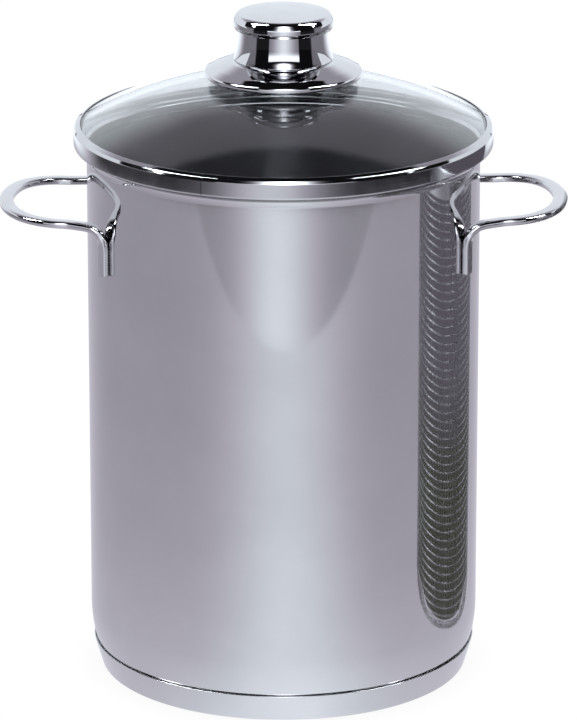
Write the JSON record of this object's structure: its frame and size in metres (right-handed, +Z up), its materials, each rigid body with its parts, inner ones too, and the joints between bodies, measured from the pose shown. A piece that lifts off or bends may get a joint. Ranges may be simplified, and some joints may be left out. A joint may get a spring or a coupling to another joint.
{
  "type": "water bath canner",
  "caption": "Tall narrow polished steel pot with a domed glass lid, round steel knob, wire loop side handles and a lift-out woven wire jar basket.",
  "frame": {"origin": "centre of the base, on the surface the pot stands on", "axes": "+Z up along the pot's axis; the two side handles point along -X and +X; -Y is the front"},
  "size_m": [0.234, 0.1722, 0.2801],
  "materials": {
    "polished_steel": "mirror-polished stainless steel",
    "basket_steel": "electropolished stainless wire and strip",
    "woven_wire": "woven stainless wire cloth",
    "plain_steel": "turned stainless steel",
    "base_aluminium": "rolled aluminium, hidden inside the base",
    "lid_glass": "clear toughened glass",
    "silicone": "translucent silicone",
    "knob_moulding": "heat-resistant moulding, hidden in the knob",
    "insert_brass": "turned brass"
  },
  "bodies": {
    "pot": {"pot_body": "polished_steel", "base_cap": "polished_steel", "base_core": "base_aluminium", "handle_left": "polished_steel", "handle_right": "polished_steel"},
    "basket": {"basket_mesh_wall": "woven_wire", "basket_mesh_floor": "woven_wire", "basket_rim_band": "basket_steel", "basket_base_hoop": "basket_steel", "basket_cross_wires": "basket_steel", "basket_feet": "basket_steel", "basket_handle_eyes": "basket_steel"},
    "basket_handle_left": {"basket_handle_left": "basket_steel"},
    "basket_handle_right": {"basket_handle_right": "basket_steel"},
    "lid": {"lid_glass": "lid_glass", "lid_rim_band": "polished_steel", "knob_saucer": "polished_steel", "knob_body": "polished_steel", "knob_cap": "polished_steel", "knob_core": "knob_moulding", "knob_insert": "insert_brass", "knob_screw": "plain_steel", "knob_washer": "plain_steel", "knob_gasket_upper": "silicone", "knob_gasket_lower": "silicone"}
  },
  "joints": [
    {"name": "basket_lift", "type": "slide", "parent": "pot", "child": "basket", "axis": [0, 0, 1], "range_m": [0, 0.23]},
    {"name": "lid_lift", "type": "slide", "parent": "basket", "child": "lid", "axis": [0, 0, 1], "range_m": [0, 0.12]},
    {"name": "basket_handle_left_fold", "type": "hinge", "parent": "basket", "child": "basket_handle_left", "pos_m": [-0.064, 0, 0.1752], "axis": [0, -1, 0], "range_deg": [0, 90]},
    {"name": "basket_handle_right_fold", "type": "hinge", "parent": "basket", "child": "basket_handle_right", "pos_m": [0.064, 0, 0.1752], "axis": [0, 1, 0], "range_deg": [0, 90]}
  ]
}
